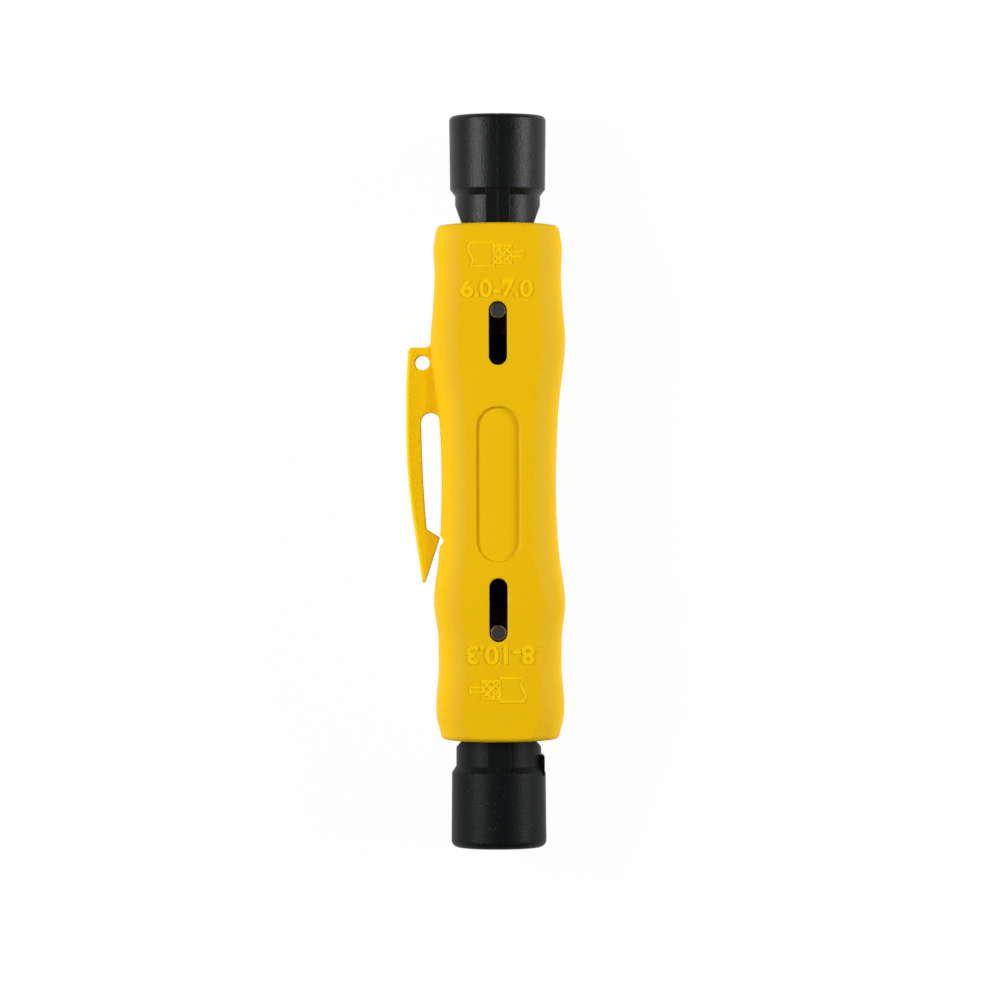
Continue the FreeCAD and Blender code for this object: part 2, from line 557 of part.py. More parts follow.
def cut_bore(body, head):
    """Tapered bore with its spring boss, and the two pin slots."""
    sign = "-" if head == "large" else ""
    other = "" if sign else "-"
    floor = "middle_wall / 2"
    mouth = rounded_rectangle(
        new_sketch(body, "XZ_Plane", f"{head}Mouth", f"{other}(housing_half_length + overrun)"),
        bore_half(head, "housing_half_length + overrun"), "bore_half_depth", "bore_corner")
    inner = rounded_rectangle(
        new_sketch(body, "XZ_Plane", f"{head}Floor", f"{other}({floor})"),
        bore_half(head, floor), "bore_half_depth", "bore_corner")
    loft(body, "SubtractiveLoft", f"{head}Bore", [mouth, inner], ruled=True)
    ring = circle(new_sketch(body, "XZ_Plane", f"{head}BossOutline", f"{other}({floor})"), "0", "0",
                  "seat_radius")
    straight(body, "Pad", f"{head}Boss", ring, "spring_boss_length", both_ways=False,
             reverse=(head == "small"))
    half = "slot_width / 2"
    outer = f"{sign}{head}_pivot"
    inner_end = f"{sign}({head}_pivot - stroke - slot_spare)"
    corners = [(half, inner_end), (half, outer), (f"-{half}", outer), (f"-{half}", inner_end)]
    bends = {1: half, 3: half} if head == "small" else {1: f"-{half}", 3: f"-{half}"}
    slot = outline(new_sketch(body, "XY_Plane", f"{head}SlotOutline"), corners, bends)
    slots = straight(body, "Pocket", f"{head}Slots", slot, None)
    doc.recompute()
    top, reach = measure("axis_height"), measure(half) + NEAR
    low, high = sorted((measure(inner_end), measure(outer)))
    filleted(body, f"{head}SlotRims", slots,
             lambda edge: all(abs(abs(v.Z) - top) < NEAR and abs(v.X) < reach
                              and low - NEAR < v.Y < high + NEAR for v in edge.Vertexes),
             "slot_edge")


def cut_recess(body):
    """Shallow thumb recess in the front, with a rounded rim."""
    sketch = rounded_rectangle(new_sketch(body, "XY_Plane", "RecessOutline", "axis_height"),
                               "recess_width / 2", "recess_length / 2", "recess_corner")
    bind(sketch, "AttachmentOffset.Base.y", "-recess_shift")
    recess = straight(body, "Pocket", "Recess", sketch, "recess_depth", both_ways=False)
    doc.recompute()
    top, width = measure("axis_height"), measure("recess_width") / 2
    reach = measure("recess_length / 2 + recess_shift")
    filleted(body, "RecessRim", recess,
             lambda edge: all(abs(v.Z - top) < NEAR and abs(v.X) < width + NEAR
                              and abs(v.Y) < reach + NEAR for v in edge.Vertexes),
             "recess_edge")


# Jaws

def make_jaw(head, role):
    """One half of a head: the blade jaw is on the left of its own axis, the support jaw right."""
    blade_side = role == "blade_jaw"
    sign = "-" if blade_side else ""
    body = new_body(f"{head}_head_{role}")
    place_on_axis(body, head)
    low_end = f"({head}_pivot - tail_reach_past_pin)"

    def x(text):
        return f"{sign}({text})"

    profile = [
        ("0", low_end),
        (x("neck_radius"), low_end),
        (x("neck_radius"), f"{head}_shoulder - shoulder_chamfer"),
        (x(f"{head}_head_radius"), f"{head}_shoulder"),
        (x(f"{head}_tip_radius"), f"{head}_tip - {head}_tip_rounding"),
        (x(f"{head}_tip_radius - {head}_tip_rounding"), f"{head}_tip"),
        ("0", f"{head}_tip"),
    ]
    bends = {4: f"-{head}_tip_rounding" if blade_side else f"{head}_tip_rounding"}
    sketch = outline(new_sketch(body, "XY_Plane", "ShellProfile"), profile, bends)
    shell = turned(body, "Revolution", "Shell", sketch, angle=180)
    doc.recompute()
    shoulder = measure(f"{head}_shoulder")
    filleted(body, "ShoulderRounding", shell,
             lambda edge: edge.BoundBox.YLength < NEAR and abs(edge.BoundBox.YMin - shoulder) < NEAR,
             "shoulder_rounding")

    rib, top = f"{head}_rib_width / 2", f"{head}_tip - {head}_tip_rounding"
    sketch = outline(new_sketch(body, "XY_Plane", "RibOutline"),
                     [("0", low_end), (x(rib), low_end), (x(rib), top), ("0", top)])
    straight(body, "Pad", "Ribs", sketch, f"2 * {head}_rib_height")
    narrow_sides(body, head, x, low_end)
    split(body, head, x, blade_side, low_end)

    add_tail(body, head, x, sign)
    add_shield(body, head, blade_side)
    add_eye(body, head, blade_side)
    cut_channel(body, head, x)
    if blade_side:
        cut_blade_pockets(body, head)
    return body


def narrow_sides(body, head, x, low_end):
    """Room beside the stem, so that the jaws can open inside the bore."""
    outside = f"({head}_tip_radius + overrun)"
    sketch = outline(new_sketch(body, "XY_Plane", "SideOutline"),
                     [(x("stem_half_width"), f"{low_end} - overrun"), (x(outside), f"{low_end} - overrun"),
                      (x(outside), f"{head}_neck_end"), (x("neck_radius"), f"{head}_neck_end"),
                      (x("stem_half_width"), f"{head}_stem_start")])
    straight(body, "Pocket", "Side", sketch, None)


def split(body, head, x, blade_side, low_end):
    """Parting faces, with a step at the back and a lap at the tip, so that no light shows through."""
    low, high = f"{low_end} - overrun", f"{head}_tip + overrun"
    step_start = f"({head}_pivot + ear_radius + split_step_start)"
    lap_start, lap_top = f"({head}_tip - lap_length)", f"{head}_lap_height"
    sketch = outline(new_sketch(body, "XY_Plane", "SplitOutline"),
                     [(x("-overrun"), low), (x("split_gap / 2"), low),
                      (x("split_gap / 2"), high), (x("-overrun"), high)])
    straight(body, "Pocket", "SplitFace", sketch, None)
    if blade_side:
        level = "-split_gap / 2"
        strip = outline(new_sketch(body, "YZ_Plane", "StepProfile", "-split_gap"),
                        [(step_start, level), (step_start, "-neck_radius"),
                         (f"{head}_shoulder - shoulder_chamfer", "-neck_radius"),
                         (f"{head}_shoulder", f"-{head}_head_radius"),
                         (f"{head}_tip - {head}_tip_rounding", f"-{head}_tip_radius"),
                         (f"{head}_tip", f"-({head}_tip_radius - {head}_tip_rounding)"),
                         (f"{head}_tip", level)],
                        {4: f"{head}_tip_rounding"})
        straight(body, "Pad", "Step", strip, "split_step + split_gap / 2", both_ways=False)
        lap = outline(new_sketch(body, "YZ_Plane", "LapProfile", "-split_gap"),
                      [(lap_start, "0"), (f"{head}_tip", "0"), (f"{head}_tip", lap_top),
                       (lap_start, lap_top)])
        straight(body, "Pad", "Lap", lap, "lap_width + split_gap", both_ways=False)
    else:
        room = outline(new_sketch(body, "XY_Plane", "StepRoomOutline", "split_gap / 2"),
                       [("-overrun", f"{step_start} - split_gap"),
                        ("split_step + split_gap / 2", f"{step_start} - split_gap"),
                        ("split_step + split_gap / 2", high), ("-overrun", high)])
        straight(body, "Pocket", "StepRoom", room, None, both_ways=False)
        space = outline(new_sketch(body, "YZ_Plane", "LapRoomProfile"),
                        [(f"{lap_start} - split_gap", "0"), (high, "0"),
                         (high, f"{lap_top} + split_gap"),
                         (f"{lap_start} - split_gap", f"{lap_top} + split_gap")])
        straight(body, "Pocket", "LapRoom", space, "lap_width + split_gap", both_ways=False,
                 reverse=True)


def add_tail(body, head, x, sign):
    """Tail block: a rounded pad out to the side of the bore, with a ramp for the plunger nose."""
    end = f"({head}_pivot - {head}_tail)"
    outer = f"({bore_half(head, end)} - tail_clearance)"
    crown = f"({outer} - tail_crown)"
    section = new_sketch(body, "XZ_Plane", "TailSection", f"-{end}")
    edge = f"({crown} + sqrt(tail_crown * tail_crown - tail_half_depth * tail_half_depth))"
    bend = {1: "-tail_crown"} if sign else {1: "tail_crown"}
    outline(section, [(x("tail_relief"), "-tail_half_depth"), (x(edge), "-tail_half_depth"),
                      (x(edge), "tail_half_depth"), (x("tail_relief"), "tail_half_depth")], bend)
    straight(body, "Pad", "Tail", section, f"{head}_tail + tail_reach_past_pin", both_ways=False,
             reverse=True)
    slope = f"tan({head}_nose_angle * 1deg)"
    root = "nose_radius + nose_clearance"
    ramp = outline(new_sketch(body, "XY_Plane", "RampOutline"),
                   [(x("-overrun"), f"{end} - overrun"),
                    (x(f"{root} + overrun * {slope}"), f"{end} - overrun"),
                    (x(f"{root} - (nose_ahead + ramp_run_out) * {slope}"),
                     f"{end} + nose_ahead + ramp_run_out"),
                    (x("tail_relief"), f"{end} + nose_ahead + ramp_run_out + ramp_shoulder"),
                    (x("tail_relief"), f"{head}_pivot - ear_radius / 2"),
                    (x("-overrun"), f"{head}_pivot - ear_radius / 2")])
    straight(body, "Pocket", "Ramp", ramp, None)


def add_shield(body, head, blade_side):
    """Plate on the back of the blade jaw's tail, and the room for it in the other tail."""
    end = f"({head}_pivot - {head}_tail)"
    top = f"({head}_pivot - ear_radius / 2)"
    if blade_side:
        plate = outline(new_sketch(body, "XY_Plane", "ShieldOutline", "-tail_half_depth"),
                        [("-tail_half_depth", end), ("shield_half_width", end),
                         ("shield_half_width", top), ("-tail_half_depth", top)])
        straight(body, "Pad", "Shield", plate, "shield_thickness", both_ways=False)
    else:
        side = "(shield_half_width + shield_room)"
        room = outline(new_sketch(body, "XY_Plane", "ShieldRoomOutline",
                                  "-(tail_half_depth - shield_thickness - split_gap)"),
                       [("-overrun", f"{end} - overrun"), (side, f"{end} - overrun"),
                        (side, top), ("-overrun", top)])
        straight(body, "Pocket", "ShieldRoom", room, "shield_thickness + split_gap + overrun",
                 both_ways=False)


def add_eye(body, head, blade_side):
    """Hinge eyes around the pin, and the room for those of the other jaw."""
    pivot = f"{head}_pivot"
    if blade_side:
        room = circle(new_sketch(body, "XY_Plane", "TongueRoom"), "0", pivot, "ear_radius + eye_clearance")
        straight(body, "Pocket", "TongueSpace", room, "2 * (tongue_half_depth + eye_clearance)")
        for name, turn in (("Front", False), ("Back", True)):
            start = "tongue_half_depth + eye_clearance"
            offset = f"-({start})" if turn else start
            eye = circle(new_sketch(body, "XY_Plane", f"{name}Eye", offset), "0", pivot, "ear_radius")
            straight(body, "Pad", f"{name}Ear", eye, f"eye_half_depth - ({start})", both_ways=False,
                     reverse=turn)
    else:
        for name, turn in (("Front", False), ("Back", True)):
            offset = "-tongue_half_depth" if turn else "tongue_half_depth"
            room = circle(new_sketch(body, "XY_Plane", f"{name}Room", offset), "0", pivot,
                          "ear_radius + eye_clearance")
            straight(body, "Pocket", f"{name}Space", room, f"{head}_head_radius", both_ways=False,
                     reverse=not turn)
        eye = circle(new_sketch(body, "XY_Plane", "MiddleEye"), "0", pivot, "ear_radius")
        straight(body, "Pad", "Tongue", eye, "2 * tongue_half_depth")
    hole = circle(new_sketch(body, "XY_Plane", "PinOutline"), "0", pivot, "pin_radius + pin_clearance")
    straight(body, "Pocket", "PinHole", hole, None)


def cut_channel(body, head, x):
    """Half of the cable channel, from the tip to the stop."""
    radius, tip = f"{head}_channel_radius", f"{head}_tip"
    sketch = outline(new_sketch(body, "XY_Plane", "ChannelProfile"),
                     [(x("0"), "channel_stop"), (x(radius), "channel_stop"),
                      (x(radius), f"{tip} - channel_lead"), (x(f"{radius} + channel_lead"), tip),
                      (x(f"{radius} + channel_lead"), f"{tip} + overrun"), (x("0"), f"{tip} + overrun")])
    turned(body, "Groove", "Channel", sketch)


def blade_places(head):
    """Blade names with their distance from the middle."""
    return [("jacket_blade", f"({head}_tip - jacket_cut)"),
            ("core_blade", f"({head}_tip - jacket_cut - core_cut)")]


def cut_blade_pockets(body, head):
    """Pocket for the cassette and a slit for each blade."""
    floor = f"{head}_head_radius - cassette_thickness"
    deep = f"{head}_cassette_half_depth + cassette_play"
    outside = f"-({head}_tip_radius + overrun)"
    low = f"{head}_cassette_start - cassette_play"
    high = f"{head}_tip - cassette_end_wall + cassette_play"
    pocket = outline(new_sketch(body, "XY_Plane", "CassetteRoom"),
                     [(outside, low), (f"-({floor})", low), (f"-({floor})", high), (outside, high)])
    straight(body, "Pocket", "CassettePocket", pocket, f"2 * ({deep})")
    for name, place in blade_places(head):
        half = "blade_thickness / 2 + blade_play"
        outer, inner = f"-({floor} + blade_thickness)", "-split_gap / 2"
        slit = outline(new_sketch(body, "XY_Plane", f"{name}Room"),
                       [(outer, f"{place} - ({half})"), (inner, f"{place} - ({half})"),
                        (inner, f"{place} + {half}"), (outer, f"{place} + {half}")])
        straight(body, "Pocket", f"{name}Slit", slit, "2 * (blade_half_depth + blade_play)")


# Cassette and blades

def make_cassette(head):
    """Block let into the blade jaw from outside. Its outer face carries on the skin of the head."""
    body = new_body(f"{head}_head_blade_cassette")
    place_on_axis(body, head)
    floor = f"({head}_head_radius - cassette_thickness + cassette_play)"
    deep = f"{head}_cassette_half_depth"
    start, end = f"{head}_cassette_start", f"({head}_tip - cassette_end_wall)"
    foot = f"{head}_shoulder" if head == "large" else start
    flare = (f"({head}_tip_radius - {head}_head_radius)"
             f" / ({head}_tip - {head}_tip_rounding - {head}_shoulder)")

    def skin(place):
        return f"-({head}_head_radius + ({place} - {head}_shoulder) * {flare})"

    profile = outline(new_sketch(body, "XY_Plane", "SkinProfile"),
                      [(f"-({floor} / 2)", foot), (skin(foot), foot), (skin(end), end),
                       (f"-({floor} / 2)", end)])
    turned(body, "Revolution", "Block", profile, angle=90)
    if head == "large":
        lug = outline(new_sketch(body, "XY_Plane", "LugOutline"),
                      [(f"-{floor}", start), ("-(lug_reach - lug_corner)", start),
                       ("-lug_reach", f"{start} + lug_corner"), ("-lug_reach", f"{foot} + lug_corner"),
                       (f"-{floor}", f"{foot} + lug_corner")],
                      {1: "-lug_corner"})
        straight(body, "Pad", "Lug", lug, f"2 * {deep}")
    outside = f"({head}_tip_radius + overrun)"
    for name, level, up in (("Front", deep, True), ("Back", f"-{deep}", False)):
        side = outline(new_sketch(body, "XY_Plane", f"{name}Outline", level),
                       [(f"-{outside}", f"{start} - overrun"), ("0", f"{start} - overrun"),
                        ("0", f"{end} + overrun"), (f"-{outside}", f"{end} + overrun")])
        straight(body, "Pocket", f"{name}Side", side, None, both_ways=False, reverse=up)
    inner = outline(new_sketch(body, "XY_Plane", "InnerOutline"),
                    [(f"-{floor}", f"{start} - overrun"), ("0", f"{start} - overrun"),
                     ("0", f"{end} + overrun"), (f"-{floor}", f"{end} + overrun")])
    straight(body, "Pocket", "InnerFace", inner, None)
    for name, place in blade_places(head):
        half = "blade_thickness / 2 + blade_play"
        slit = outline(new_sketch(body, "XY_Plane", f"{name}Room"),
                       [("-(blade_root + blade_play)", f"{place} - ({half})"),
                        (f"-({floor} - overrun)", f"{place} - ({half})"),
                        (f"-({floor} - overrun)", f"{place} + {half}"),
                        ("-(blade_root + blade_play)", f"{place} + {half}")])
        straight(body, "Pocket", f"{name}Slit", slit, "2 * (blade_half_depth + blade_play)")
    return body


def make_blade(head, name, place):
    """Flat blade across the axis, ground on both faces to a straight edge."""
    body = new_body(f"{head}_head_{name}")
    place_on_axis(body, head)
    edge = f"{head}_{name.split('_')[0]}_edge"
    half = "blade_thickness / 2"
    back, shoulder, tip = "-blade_root", f"-({edge} + bevel_length)", f"-{edge}"
    sketch = outline(new_sketch(body, "XY_Plane", "BladeOutline"),
                     [(back, f"{place} - {half}"), (shoulder, f"{place} - {half}"),
                      (tip, f"{place} - edge_flat / 2"), (tip, f"{place} + edge_flat / 2"),
                      (shoulder, f"{place} + {half}"), (back, f"{place} + {half}")])
    straight(body, "Pad", "Blade", sketch, "2 * blade_half_depth")
    return body


# Pin, plunger and spring

def make_pin(head):
    """Through pin; its ends ride in the slots of the housing."""
    body = new_body(f"{head}_head_pivot_pin")
    place_on_axis(body, head)
    sketch = circle(new_sketch(body, "XY_Plane", "PinOutline"), "0", f"{head}_pivot", "pin_radius")
    pin = straight(body, "Pad", "Pin", sketch, "2 * (axis_height - pin_sink)")
    filleted(body, "PinEdges", pin, lambda edge: len(edge.Vertexes) == 1, "pin_chamfer", "Chamfer")
    return body


def make_plunger(head):
    """Cone nose between the tails, a flange, and a boss inside the spring."""
    body = new_body(f"{head}_head_plunger")
    place_on_axis(body, head)
    end = f"({head}_pivot - {head}_tail)"
    slope = f"tan({head}_nose_angle * 1deg)"
    base = f"({end} - nose_behind)"
    sketch = outline(new_sketch(body, "XY_Plane", "PlungerProfile"),
                     [("0", f"{base} - flange_thickness - seat_length"),
                      ("seat_radius", f"{base} - flange_thickness - seat_length"),
                      ("seat_radius", f"{base} - flange_thickness"),
                      ("flange_radius", f"{base} - flange_thickness"),
                      ("flange_radius", base),
                      (f"nose_radius + nose_behind * {slope}", base),
                      (f"nose_radius - nose_ahead * {slope}", f"{end} + nose_ahead"),
                      ("0", f"{end} + nose_ahead")])
    turned(body, "Revolution", "Plunger", sketch)
    return body


def make_spring(head):
    """Wire wound between the middle wall and the plunger. Its section has flat sides."""
    seat = measure(f"{head}_pivot - {head}_tail - nose_behind - flange_thickness")
    floor = measure("middle_wall / 2")
    wire, gap, coil = measure("wire_radius"), measure("spring_seat_gap"), measure("coil_radius")
    length = seat - floor - 2 * (wire + gap)
    path = Part.makeHelix(length / measure(f"{head}_turns"), length, coil)
    sides = round(measure("wire_sides"))
    corners = []
    for i in range(sides):
        turn = 2 * math.pi * (i + 0.5) / sides
        corners.append(FreeCAD.Vector(coil + wire * math.cos(turn), 0, wire * math.sin(turn)))
    section = Part.makePolygon(corners + corners[:1])
    spring = doc.addObject("Part::Feature", f"{head}_head_spring")
    spring.Label = f"{head}_head_spring"
    spring.Shape = Part.Wire(path.Edges).makePipeShell([section], True, True)
    side = 1 if head == "small" else -1
    spring.Placement = FreeCAD.Placement(
        FreeCAD.Vector(0, side * (floor + wire + gap), measure("axis_height")),
        FreeCAD.Rotation(FreeCAD.Vector(1, 0, 0), -90 * side))
    return spring


pieces = [make_housing()]
for head in ("small", "large"):
    pieces += [make_jaw(head, "blade_jaw"), make_jaw(head, "support_jaw"), make_cassette(head)]
    pieces += [make_blade(head, name, place) for name, place in blade_places(head)]
    pieces += [make_pin(head), make_plunger(head), make_spring(head)]

doc.recompute()
for item in doc.Objects:
    if "Invalid" in item.State or "Error" in item.State:
        raise RuntimeError(f"{item.Label} ({item.Name}) is not computed: {item.State}")
os.makedirs("parts", exist_ok=True)
for piece in pieces:
    shape = piece.Shape
    if shape.isNull() or not shape.isValid():
        raise RuntimeError(f"{piece.Label} has no valid shape")
    print(f"{piece.Label}: {len(shape.Solids)} solid, {shape.Volume:.1f} mm3, {shape.BoundBox}")
for piece in pieces:
    piece.Shape.exportStep(f"parts/{piece.Label}.step")
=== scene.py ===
import bpy
import math
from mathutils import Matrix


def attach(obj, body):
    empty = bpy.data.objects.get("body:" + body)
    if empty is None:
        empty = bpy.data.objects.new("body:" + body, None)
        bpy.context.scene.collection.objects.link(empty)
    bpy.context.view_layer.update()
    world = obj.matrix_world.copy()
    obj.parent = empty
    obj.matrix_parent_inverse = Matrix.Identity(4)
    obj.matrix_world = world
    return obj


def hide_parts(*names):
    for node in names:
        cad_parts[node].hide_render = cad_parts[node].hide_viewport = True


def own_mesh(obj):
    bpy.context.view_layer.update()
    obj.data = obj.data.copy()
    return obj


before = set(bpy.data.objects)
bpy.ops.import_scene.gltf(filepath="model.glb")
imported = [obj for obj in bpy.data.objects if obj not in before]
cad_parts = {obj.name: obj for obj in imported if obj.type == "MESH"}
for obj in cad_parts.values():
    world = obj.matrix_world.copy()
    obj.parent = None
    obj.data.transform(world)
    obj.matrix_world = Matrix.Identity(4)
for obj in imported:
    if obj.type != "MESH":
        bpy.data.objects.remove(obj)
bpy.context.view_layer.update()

# The camera looks straight down on the tool as it lies on its flat back. It has the long lens
# that the photograph needs, with the small head at the top of the picture. The shift and the lean
# bring the tool to its place in the photograph.
AXIS_HEIGHT = 0.0102
PICTURE_WIDTH = 0.1712
LENS, SENSOR = 180, 36
SHIFT_X, SHIFT_Y = 0.0018, -0.0177
LEAN = -0.132
NEAREST = 0.05
scene = bpy.context.scene
camera_data = bpy.data.cameras.new("camera")
camera_data.lens = LENS
camera_data.sensor_width = SENSOR
camera_data.shift_x = SHIFT_X
camera_data.shift_y = SHIFT_Y
camera_data.clip_start = NEAREST
camera = bpy.data.objects.new("camera", camera_data)
camera.location = (0, 0, AXIS_HEIGHT + PICTURE_WIDTH * LENS / SENSOR)
camera.rotation_euler = (0, 0, math.radians(LEAN))
scene.collection.objects.link(camera)
scene.camera = camera
scene.view_settings.view_transform = "Standard"

# The studio: a room with pale walls and a dark ceiling, so that nothing bright is mirrored in the
# middle of the black heads. Two long softboxes stand low down, left and right of the tool.
WALL_LIGHT, CEILING_LIGHT = 0.72, 0.32
WALL_TOP = 0.32
world = bpy.data.worlds.new("studio")
scene.world = world
world.use_nodes = True
nodes, links = world.node_tree.nodes, world.node_tree.links
way = nodes.new("ShaderNodeTexCoord")
upward = nodes.new("ShaderNodeSeparateXYZ")
walls = nodes.new("ShaderNodeMapRange")
walls.interpolation_type = "SMOOTHSTEP"
walls.inputs["From Max"].default_value = WALL_TOP
walls.inputs["To Min"].default_value = WALL_LIGHT
walls.inputs["To Max"].default_value = CEILING_LIGHT
links.new(way.outputs["Generated"], upward.inputs["Vector"])
links.new(upward.outputs["Z"], walls.inputs["Value"])
links.new(walls.outputs["Result"], nodes["Background"].inputs["Strength"])


def add_softbox(name, distance, height_angle, ahead, size, power):
    """A long lamp beside the tool; a minus distance puts it on the left."""
    lamp_data = bpy.data.lights.new(name, "AREA")
    lamp_data.shape = "RECTANGLE"
    lamp_data.size, lamp_data.size_y = size
    lamp_data.energy = power
    lamp = bpy.data.objects.new(name, lamp_data)
    rise = math.radians(height_angle)
    side = math.copysign(1, distance)
    lamp.location = (distance * math.cos(rise), ahead,
                     AXIS_HEIGHT + abs(distance) * math.sin(rise))
    lamp.rotation_euler = (0, side * (math.pi / 2 - rise), 0)
    lamp.visible_camera = False
    scene.collection.objects.link(lamp)


add_softbox("left_softbox", distance=-0.70, height_angle=39, ahead=0.10, size=(0.26, 0.50), power=5.9)
add_softbox("right_softbox", distance=0.70, height_angle=23, ahead=0.10, size=(0.24, 0.50), power=5.2)

# The table is white paper. To the camera, and where the tool mirrors it, it is nearly all glow, so
# it is as white as the background of the photograph without more light on the tool. Of the tool's
# shadow it keeps a faint trace.
FLOOR_HALF_SIZE = 3.0
PAPER_WHITE, PAPER_ROUGHNESS = 0.88, 0.9
PAPER_GLOW = 0.97
bpy.ops.object.select_all(action="DESELECT")
bpy.ops.mesh.primitive_plane_add(size=2 * FLOOR_HALF_SIZE, location=(0, 0, 0))
floor = bpy.context.object
floor.name = "floor"
paper = bpy.data.materials.new("white_paper")
paper.use_nodes = True
nodes, links = paper.node_tree.nodes, paper.node_tree.links
paper_shader = nodes["Principled BSDF"]
paper_shader.inputs["Base Color"].default_value = (PAPER_WHITE, PAPER_WHITE, PAPER_WHITE, 1)
paper_shader.inputs["Roughness"].default_value = PAPER_ROUGHNESS
glow = nodes.new("ShaderNodeEmission")
seen = nodes.new("ShaderNodeLightPath")
mirrored = nodes.new("ShaderNodeMath")
mirrored.operation = "MAXIMUM"
through = nodes.new("ShaderNodeMath")
through.operation = "MAXIMUM"
share = nodes.new("ShaderNodeMath")
share.operation = "MULTIPLY"
share.inputs[1].default_value = PAPER_GLOW
either = nodes.new("ShaderNodeMixShader")
links.new(seen.outputs["Is Camera Ray"], mirrored.inputs[0])
links.new(seen.outputs["Is Glossy Ray"], mirrored.inputs[1])
links.new(mirrored.outputs[0], through.inputs[0])
links.new(seen.outputs["Is Transmission Ray"], through.inputs[1])
links.new(through.outputs[0], share.inputs[0])
links.new(share.outputs[0], either.inputs["Fac"])
links.new(paper_shader.outputs["BSDF"], either.inputs[1])
links.new(glow.outputs["Emission"], either.inputs[2])
links.new(either.outputs["Shader"], nodes["Material Output"].inputs["Surface"])
floor.data.materials.append(paper)

# Housing: one moulding of yellow ABS with the belt clip. Its skin has the fine matt grain of a
# spark-eroded mould, and a hairline shows where the two halves of the mould met. The clip, which
# begins at CLIP_SIDE and goes on to the left, is painted a slightly lighter yellow: painted light for
# the light that falls on it and comes through it.
YELLOW = (0.80, 0.478, 0.0005, 1)
YELLOW_DEEP = (0.755, 0.44, 0.0005, 1)
YELLOW_ROUGHNESS, YELLOW_SPECULAR = 0.5, 0.10
GRAIN_SIZE, GRAIN_HEIGHT = 0.00034, 0.00008
HOUSING_EDGE = 0.0004
MOULD_LINE = 0.00005
# Painted light: the lighter yellow that is painted on the clip.
CLIP_PAINTED_LIGHT_YELLOW = (0.96, 0.60, 0.0005, 1)
CLIP_SIDE, CLIP_BLEND = -0.0128, 0.0012
CLOUDS_PER_METRE, CLOUD_DETAIL, GRAIN_DETAIL = 60, 3, 2
PLASTIC_SHINE_SPREAD = 0.06
EDGE_SAMPLES = 6


def dress(node, material):
    """Puts one material on the whole of a CAD node."""
    node.data.materials.clear()
    node.data.materials.append(material)


def moulded_plastic(name, colour, deep, roughness, specular, grain_size, grain_height, edge):
    """Matt plastic: slow changes of colour, fine grain, and edges rounded by the bevel node."""
    material = bpy.data.materials.new(name)
    material.use_nodes = True
    nodes, links = material.node_tree.nodes, material.node_tree.links
    shader = nodes["Principled BSDF"]
    shader.inputs["Base Color"].default_value = colour
    shader.inputs["Specular IOR Level"].default_value = specular
    place = nodes.new("ShaderNodeTexCoord")
    if deep != colour:
        clouds = nodes.new("ShaderNodeTexNoise")
        clouds.inputs["Scale"].default_value = CLOUDS_PER_METRE
        clouds.inputs["Detail"].default_value = CLOUD_DETAIL
        tint = nodes.new("ShaderNodeMix")
        tint.name = "tint"
        tint.data_type = "RGBA"
        tint.inputs[6].default_value = colour
        tint.inputs[7].default_value = deep
        links.new(place.outputs["Object"], clouds.inputs["Vector"])
        links.new(clouds.outputs["Fac"], tint.inputs["Factor"])
        links.new(tint.outputs[2], shader.inputs["Base Color"])
    grain = nodes.new("ShaderNodeTexNoise")
    grain.name = "grain"
    grain.inputs["Scale"].default_value = 1 / grain_size
    grain.inputs["Detail"].default_value = GRAIN_DETAIL
    shine = nodes.new("ShaderNodeMapRange")
    shine.inputs["To Min"].default_value = roughness - PLASTIC_SHINE_SPREAD
    shine.inputs["To Max"].default_value = roughness + PLASTIC_SHINE_SPREAD
    rounding = nodes.new("ShaderNodeBevel")
    rounding.samples = EDGE_SAMPLES
    rounding.inputs["Radius"].default_value = edge
    bump = nodes.new("ShaderNodeBump")
    bump.name = "bump"
    bump.inputs["Distance"].default_value = grain_height
    links.new(place.outputs["Object"], grain.inputs["Vector"])
    links.new(grain.outputs["Fac"], shine.inputs["Value"])
    links.new(shine.outputs["Result"], shader.inputs["Roughness"])
    links.new(grain.outputs["Fac"], bump.inputs["Height"])
    links.new(rounding.outputs["Normal"], bump.inputs["Normal"])
    links.new(bump.outputs["Normal"], shader.inputs["Normal"])
    return material


yellow_abs = moulded_plastic("yellow_abs", YELLOW, YELLOW_DEEP, YELLOW_ROUGHNESS, YELLOW_SPECULAR,
                             GRAIN_SIZE, GRAIN_HEIGHT, HOUSING_EDGE)
nodes, links = yellow_abs.node_tree.nodes, yellow_abs.node_tree.links
place = nodes.new("ShaderNodeTexCoord")
height = nodes.new("ShaderNodeSeparateXYZ")
off_line = nodes.new("ShaderNodeMath")
off_line.operation = "SUBTRACT"
off_line.inputs[1].default_value = AXIS_HEIGHT
distance = nodes.new("ShaderNodeMath")
distance.operation = "ABSOLUTE"
ridge = nodes.new("ShaderNodeMapRange")
ridge.inputs["From Max"].default_value = MOULD_LINE
ridge.inputs["To Min"].default_value = 1
ridge.inputs["To Max"].default_value = 0
total = nodes.new("ShaderNodeMath")
total.operation = "ADD"
links.new(place.outputs["Object"], height.inputs["Vector"])
links.new(height.outputs["Z"], off_line.inputs[0])
links.new(off_line.outputs[0], distance.inputs[0])
links.new(distance.outputs[0], ridge.inputs["Value"])
links.new(ridge.outputs["Result"], total.inputs[0])
links.new(nodes["grain"].outputs["Fac"], total.inputs[1])
links.new(total.outputs[0], nodes["bump"].inputs["Height"])
